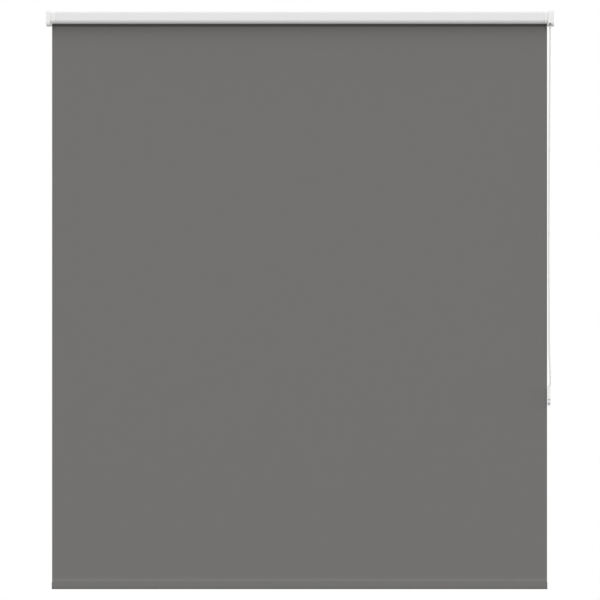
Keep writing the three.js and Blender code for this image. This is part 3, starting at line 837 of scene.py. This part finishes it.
def idle_spring():
    """The idle pin's spring, wound round the roller's axis."""
    spring = stand_in(coil("idle_spring", **IDLE_SPRING), "idle_spring", bevel=0)
    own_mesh(spring)


idle_spring()
for node in ("wrap_spring_inner", "wrap_spring_outer"):
    stand_in(coil(node, **WRAP_SPRING), node, bevel=0)

CLOTH = 0.25
ROLL = {"turns": 2.4, "slack": 0.04, "steps": 48}


def fabric_roll():
    """The turns of cloth left on the tube, wound as one spiral band."""
    x0, x1 = low("fabric_roll").x, high("fabric_roll").x
    outer = middle("fabric_panel").y - AXIS_Y
    turns = ROLL["turns"]
    pitch = CLOTH + ROLL["slack"]
    steps = int(turns * ROLL["steps"])
    bands = []
    for i in range(steps + 1):
        angle = TAU * turns * i / steps
        mid_radius = outer - pitch * turns * i / steps
        pair = []
        for radius in (mid_radius + CLOTH / 2, mid_radius - CLOTH / 2):
            pair.append((AXIS_Y + radius * math.cos(angle), radius * math.sin(angle)))
        bands.append(pair)
    sections = []
    for (y0, z0), (y1, z1) in bands:
        sections.append([(x0, y0, z0), (x1, y0, z0), (x1, y1, z1), (x0, y1, z1)])
    return loft(sections)


stand_in(fabric_roll(), "fabric_roll", bevel=0)


# Control
def on_wheel(wheel, radius, angle):
    return wheel["centre"] + Vector((0, radius * math.cos(angle), radius * math.sin(angle)))


RIM = {"chamfer": 0.5, "groove_half": 0.9, "groove_depth": 1.1, "overrun": 2, "sides": 96}
SLEEVE = {"inner": 3.9, "outer": 4.6, "overlap": 0.6}


def bead_wheel(wheel):
    """A chamfered wheel with a pocket for each bead and a groove between them for the string."""
    bore, rim, half = wheel["bore"], wheel["rim"], wheel["half_width"]
    centre, sides = wheel["centre"], RIM["sides"]
    chamfer = RIM["chamfer"]
    profile = [(bore, -half), (rim - chamfer, -half), (rim, chamfer - half)]
    profile += [(rim, half - chamfer), (rim - chamfer, half), (bore, half)]
    floor = wheel["pitch_radius"] - RIM["groove_depth"]
    groove_half = RIM["groove_half"]
    blank = turned(profile, centre, sides)
    tools = [ring(floor, rim + RIM["overrun"], -groove_half, groove_half, centre, sides)]
    for i in range(wheel["pockets"]):
        place = on_wheel(wheel, wheel["pitch_radius"], TAU * i / wheel["pockets"])
        tools.append(ball(BEAD["pocket"], place, segments=24, levels=16))
    return cut(blank, *tools)


def chain_sprocket():
    """The bead wheel with the sleeve that turns the drum."""
    start = low("chain_sprocket").x - SPROCKET["centre"].x
    end = SLEEVE["overlap"] - SPROCKET["half_width"]
    sleeve = ring(SLEEVE["inner"], SLEEVE["outer"], start, end, SPROCKET["centre"])
    return joined(bead_wheel(SPROCKET), sleeve)


stand_in(chain_sprocket(), "chain_sprocket", bevel=0.08)
stand_in(bead_wheel(WHEEL), "tensioner_wheel", bevel=0.08)
refined("chain_guard", bevel=0.15)


# Points of the string for each bead round a wheel
STRING_STEPS = 6


def bead_run(points, string_points):
    """A moulded bead at each point, on one string."""
    beads = [ball(BEAD["radius"], point, segments=18, levels=12) for point in points]
    return gathered([*beads, sweep(string_points, BEAD["string"], sides=8)])


def place_on_wheel(wheel, distance, start):
    """A place on the chain's line: down one tangent of the wheel, round its rim and down the other."""
    on_rim = min(max(distance, 0), math.pi * wheel["pitch_radius"])
    angle = start + on_rim / wheel["pitch_radius"]
    tangent = Vector((0, -math.sin(angle), math.cos(angle)))
    return on_wheel(wheel, wheel["pitch_radius"], angle) + tangent * (distance - on_rim)


def wrap(wheel, start, first, count):
    """The beads lying round a wheel, with the nearest ones on the way in and out."""
    beads = [place_on_wheel(wheel, first + PITCH * i, start) for i in range(count)]
    string = []
    for i in range((count - 1) * STRING_STEPS + 1):
        string.append(place_on_wheel(wheel, first + PITCH * i / STRING_STEPS, start))
    return bead_run(beads, string)


def curve_through(points, steps=8):
    """A smooth line through points, with straight ends: a Catmull-Rom spline."""
    padded = [points[0] * 2 - points[1], *points, points[-1] * 2 - points[-2]]
    line = []
    for a, b, c, d in zip(padded, padded[1:], padded[2:], padded[3:]):
        square = a * 2 - b * 5 + c * 4 - d
        cube = b * 3 - a - c * 3 + d
        for k in range(steps):
            t = k / steps
            line.append((b * 2 + (c - a) * t + square * t**2 + cube * t**3) / 2)
    line.append(points[-1])
    return line


def spaced(line, count):
    """Points that divide a line into count equal lengths, without its two ends."""
    reached = [0.0]
    for a, b in zip(line, line[1:]):
        reached.append(reached[-1] + (b - a).length)
    points = []
    index = 0
    for i in range(1, count):
        target = reached[-1] * i / count
        while reached[index + 1] < target:
            index += 1
        share = (target - reached[index]) / (reached[index + 1] - reached[index])
        points.append(line[index].lerp(line[index + 1], share))
    return points


def strand(hand, node, first_bead, last_bead):
    """One hanging run of the chain between two beads' heights, with its beads spaced along its real
    length.
    """
    shift = WHEEL["centre"].x - SPROCKET["centre"].x
    inside = [strand_point(hand, height, sideways) for height, sideways in STRAND_ROUTE]
    first = strand_point(hand, first_bead, 0)
    last = strand_point(hand, last_bead, shift)
    line = curve_through([first, *inside, last])
    length = sum((b - a).length for a, b in zip(line, line[1:]))
    beads = spaced(line, round(length / PITCH))
    piece = stand_in(bead_run(beads, line), node, bevel=0)
    top = strand_point(hand, high(node).z, 0)
    bottom = strand_point(hand, low(node).z, shift)


# The front run starts and ends half a bead's pitch further from the wheels than the back run
strand(-1, "chain_front_strand", -PITCH * 1.5, WHEEL["centre"].z + PITCH * 1.5)
strand(1, "chain_back_strand", -PITCH, WHEEL["centre"].z + PITCH)
stand_in(wrap(SPROCKET, 0, -PITCH, 10), "chain_sprocket_wrap", bevel=0)
stand_in(wrap(WHEEL, math.pi, -PITCH * 1.5, 8), "chain_tensioner_wrap", bevel=0)


# Tensioner
TENSIONER = {"wall": 0.7, "radii": (1.5, 1, 1, 3), "mouth": 5, "plate": 3}
TENSIONER_HOLES = {"axle": 1.8, "screw": 2.4, "overrun": 2}
# The lower corners' share of a half circle, and the upper corners' radius
BLOCK = {"roundness": 0.98, "corner": 0.6, "shy": 0.01}


def tensioner_housing():
    """A flat box round the lower wheel, open at its top for the chain."""
    lowest, highest = low("tensioner_housing"), high("tensioner_housing")
    wall, radii = TENSIONER["wall"], TENSIONER["radii"]
    body = {"front": lowest.y, "back": highest.y, "bottom": lowest.z, "top": highest.z}
    outer = prism_x(rounded_outline(body, radii), lowest.x, highest.x)
    inner = prism_x(rounded_outline(body, radii, wall), lowest.x + wall, highest.x - wall)
    mouth = slab(
        lowest.x + wall,
        highest.x - wall,
        lowest.y + wall,
        highest.y - wall,
        highest.z - TENSIONER["mouth"],
        highest.z + LAP,
    )
    axle = (0, AXIS_Y, WHEEL["centre"].z)
    axle_hole = rod(TENSIONER_HOLES["axle"], lowest.x - LAP, highest.x + LAP, axle)
    return cut(outer, inner, mouth, axle_hole)


def tensioner_base():
    """A plate behind the housing, with a block below it that the screw goes through."""
    lowest, highest = low("tensioner_base"), high("tensioner_base")
    end_radius = (highest.x - lowest.x) / 2 * BLOCK["roundness"]

    def outline(upper_edge):
        corners = [
            (lowest.x, lowest.z, end_radius),
            (highest.x, lowest.z, end_radius),
            (highest.x, upper_edge, BLOCK["corner"]),
            (lowest.x, upper_edge, BLOCK["corner"]),
        ]
        return filleted(corners, steps=12)

    plate = prism_y(outline(highest.z), highest.y - TENSIONER["plate"], highest.y)
    block = prism_y(outline(low("tensioner_housing").z - SEAM), lowest.y, highest.y - BLOCK["shy"])
    place = middle("tensioner_screw")
    radius, overrun = TENSIONER_HOLES["screw"], TENSIONER_HOLES["overrun"]
    front = lowest.y - overrun
    back = highest.y + overrun
    profile = [(0, front), (radius, front), (radius, back), (0, back)]
    hole = turned(profile, (place.x, 0, place.z), sides=32, axis="y")
    return cut(joined(plate, block), hole)


stand_in(tensioner_housing(), "tensioner_housing", bevel=0.35)
stand_in(tensioner_base(), "tensioner_base", bevel=0.35)
refined("tensioner_axle", bevel=0.1)
stand_in(screw("tensioner_screw"), "tensioner_screw", bevel=0.05)


# Cloth. The panel is flat below the roll and above the hem, and eases into its curl and waves.
PANEL = {"columns": 40, "rows": 60, "edge_columns": 6, "held": 25, "easing": 60}
EDGE_CURL = {"reach": 6.0, "depth": 0.7}
WAVE = {"depth": 0.35, "across": 130, "down": 310, "start": 0.6}


def ease(value):
    """A smooth step from 0 to 1."""
    value = min(max(value, 0.0), 1.0)
    return value * value * (3 - 2 * value)


def sheet_faces(wide, tall):
    """The faces of a thin sheet from two grids of points, its front's and then its back's."""
    back = wide * tall
    faces = []
    for row in range(tall - 1):
        for column in range(wide - 1):
            a = row * wide + column
            faces.append((a, a + 1, a + wide + 1, a + wide))
            faces.append((back + a, back + a + wide, back + a + wide + 1, back + a + 1))
    rim = list(range(wide))
    rim += [row * wide + wide - 1 for row in range(1, tall)]
    rim += [(tall - 1) * wide + column for column in range(wide - 2, -1, -1)]
    rim += [row * wide for row in range(tall - 2, 0, -1)]
    for a, b in zip(rim, rim[1:] + rim[:1]):
        faces.append((a, b, back + b, back + a))
    return faces


def fabric_panel():
    """The hanging cloth: flat, with its cut edges turned back a little between the roll and the hem."""
    lowest, highest = low("fabric_panel"), high("fabric_panel")
    lowest.z = high("hem_pocket").z + SEAM
    width, height = highest.x - lowest.x, highest.z - lowest.z
    reach = EDGE_CURL["reach"]
    count, edge_count = PANEL["columns"], PANEL["edge_columns"]
    near = [reach * (k / edge_count) ** 1.5 for k in range(edge_count + 1)]
    inside = [lowest.x + reach + (width - 2 * reach) * k / count for k in range(1, count)]
    columns = [lowest.x + x for x in near] + inside + [highest.x - x for x in reversed(near)]
    rows = [lowest.z + height * k / PANEL["rows"] for k in range(PANEL["rows"] + 1)]
    middle_y = (lowest.y + highest.y) / 2
    points = []
    for face in (-CLOTH / 2, CLOTH / 2):
        for z in rows:
            from_roll = ease((highest.z - PANEL["held"] - z) / PANEL["easing"])
            free = from_roll * ease((z - lowest.z) / PANEL["easing"])
            down = math.sin(z / WAVE["down"] + WAVE["start"])
            for x in columns:
                edge = min(x - lowest.x, highest.x - x)
                curl = EDGE_CURL["depth"] * max(0.0, 1 - edge / reach) ** 2
                wave = WAVE["depth"] * math.sin(x / WAVE["across"]) * down
                points.append((x, middle_y + face + free * (curl + wave), z))
    return solid(points, sheet_faces(len(columns), len(rows)))


def cloth_piece():
    """The panel as a sheet."""
    piece = stand_in(fabric_panel(), "fabric_panel", bevel=0)
    flattened(piece)
    lowest, highest = low("fabric_panel"), high("fabric_panel")
    anchor = (0, middle("fabric_panel").y * MM, 0)
    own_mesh(piece)


HEM = {"neck_half": 0.34, "seam": 2.0, "shoulder": 8.8, "bulge": 8.0}


def round_bottom(centre, half, bottom, steps=28):
    """Half an ellipse below the bulge's height, from the front to the back."""
    bulge = low("hem_pocket").z + HEM["bulge"]
    points = []
    for k in range(steps + 1):
        angle = math.pi + math.pi * k / steps
        points.append((centre + half * math.cos(angle), bulge + (bulge - bottom) * math.sin(angle)))
    return points


def hem_outline(inset=0.0, steps=24):
    """A drop: straight at the seam, wide round the bar, and half an ellipse below."""
    lowest, highest = low("hem_pocket"), high("hem_pocket")
    centre = (lowest.y + highest.y) / 2
    half = (highest.y - lowest.y) / 2 - inset
    neck_half = HEM["neck_half"] - inset
    seam = highest.z - HEM["seam"]
    shoulder = highest.z - HEM["shoulder"]
    side = []
    for k in range(steps + 1):
        share = k / steps
        across = half + (neck_half - half) * ease(share)
        side.append((across, shoulder + (seam - shoulder) * share))
    # The outside carries on to the top edge, and the hollow ends at the seam
    if inset == 0:
        side.append((neck_half, highest.z))
    front = [(centre - across, z) for across, z in reversed(side)]
    back = [(centre + across, z) for across, z in side]
    return front[:-1] + round_bottom(centre, half, lowest.z + inset) + back[1:]


def hem_pocket():
    """One thickness of cloth round the bar, open at both ends."""
    x0, x1 = low("hem_pocket").x, high("hem_pocket").x
    outer = prism_x(hem_outline(), x0, x1)
    return cut(outer, prism_x(hem_outline(CLOTH), x0 - LAP, x1 + LAP))


BAR = {"half": 2.3, "wall": 0.8, "plug_room": 0.25, "cap_overlap": 0.2}


def bar_outline(half, bottom, top, steps=20):
    """A flat bar's section: half an ellipse below and half a circle above."""
    centre = middle("bottom_bar").y
    outline = round_bottom(centre, half, bottom)
    for k in range(steps + 1):
        angle = math.pi * k / steps
        outline.append((centre + half * math.cos(angle), top - half + half * math.sin(angle)))
    return outline


def bottom_bar():
    """A flat hollow bar, open at both ends."""
    lowest, highest = low("bottom_bar"), high("bottom_bar")
    half, wall = BAR["half"], BAR["wall"]
    outer = prism_x(bar_outline(half, lowest.z, highest.z), lowest.x, highest.x)
    bore = bar_outline(half - wall, lowest.z + wall, highest.z - wall)
    return cut(outer, prism_x(bore, lowest.x - LAP, highest.x + LAP))


def bar_cap(node, hand):
    """A head as large as the hem, a stem against the bar's end and a plug in the bar."""
    lowest, highest = low(node), high(node)
    near, far = (low, high) if hand < 0 else (high, low)
    bar_bottom, bar_top = low("bottom_bar").z, high("bottom_bar").z
    outer = near(node).x
    root = outer - hand * BAR["cap_overlap"]
    room = BAR["wall"] + BAR["plug_room"]

    def length(outline, a, b):
        return prism_x(outline, min(a, b), max(a, b))

    head = bar_outline((highest.y - lowest.y) / 2, lowest.z, highest.z)
    stem = bar_outline(BAR["half"], bar_bottom, bar_top)
    plug = bar_outline(BAR["half"] - room, bar_bottom + room, bar_top - room)
    return joined(
        length(head, outer, near("hem_pocket").x + hand * GAP),
        length(stem, root, near("bottom_bar").x + hand * GAP),
        length(plug, root, far(node).x),
    )


cloth_piece()
stand_in(hem_pocket(), "hem_pocket", bevel=0)
stand_in(bottom_bar(), "bottom_bar", bevel=0)
stand_in(bar_cap("bottom_bar_cap_left", -1), "bottom_bar_cap_left", bevel=0.15)
stand_in(bar_cap("bottom_bar_cap_right", 1), "bottom_bar_cap_right", bevel=0.15)


# Stage and light. The sky's strength is a level, a lift towards the zenith and a rise to both sides.
SKY = {"level": 0.4, "lift": 0.24, "side": 1.1, "side_power": 4.0, "least": 0.02}
# Each light: its strength, and in degrees its way round from the front, its height and its width
KEYS = {
    "left": (0.55, -14, 20.3, 2),
    "right": (0.49, 14, 20.3, 2),
    "overhead": (0.58, 0, 52, 40),
}


def add_world():
    """A white backdrop that lights more from above than from below, and most from the two sides."""
    world = bpy.data.worlds.new("studio")
    bpy.context.scene.world = world
    world.use_nodes = True
    tree = world.node_tree
    background = tree.nodes["Background"]
    axes = tree.nodes.new("ShaderNodeSeparateXYZ")
    feed(tree, axes.inputs[0], tree.nodes.new("ShaderNodeTexCoord").outputs["Generated"])
    sideways = calculated(tree, "ABSOLUTE", axes.outputs["X"])
    sideways = calculated(tree, "POWER", sideways, SKY["side_power"])
    light = calculated(tree, "MULTIPLY_ADD", axes.outputs["Z"], SKY["lift"], SKY["level"])
    light = calculated(tree, "MULTIPLY_ADD", sideways, SKY["side"], light)
    light = calculated(tree, "MAXIMUM", light, SKY["least"])
    seen = tree.nodes.new("ShaderNodeLightPath").outputs["Is Camera Ray"]
    feed(tree, background.inputs["Strength"], calculated(tree, "MAXIMUM", light, seen))
    background.inputs["Color"].default_value = (1, 1, 1, 1)


def add_keys():
    """A sharp sun from each side and a broad one from above."""
    for name, (strength, azimuth, elevation, width) in KEYS.items():
        data = bpy.data.lights.new(f"key_{name}", "SUN")
        data.energy = strength
        data.angle = math.radians(width)
        lamp = bpy.data.objects.new(f"key_{name}", data)
        lamp.rotation_euler = (math.radians(90 - elevation), 0, math.radians(azimuth))
        bpy.context.collection.objects.link(lamp)


FLOOR = {"half_width": 1.6, "front": -1.5, "back": 1.0, "height": -1.6}


def add_floor():
    """A pale floor below the blind, which lights nothing by bouncing."""
    mesh = bpy.data.meshes.new("floor")
    half, z = FLOOR["half_width"], FLOOR["height"]
    front, back = FLOOR["front"], FLOOR["back"]
    corners = [(-half, front, z), (half, front, z), (half, back, z), (-half, back, z)]
    mesh.from_pydata(corners, [], [(0, 1, 2, 3)])
    floor = bpy.data.objects.new("floor", mesh)
    bpy.context.collection.objects.link(floor)
    mesh.materials.append(Surface("floor", (0.8, 0.8, 0.8), 0.7).material)
    floor.visible_diffuse = False
    floor.visible_glossy = False


add_world()
add_keys()
add_floor()
bpy.context.scene.view_settings.view_transform = "Standard"
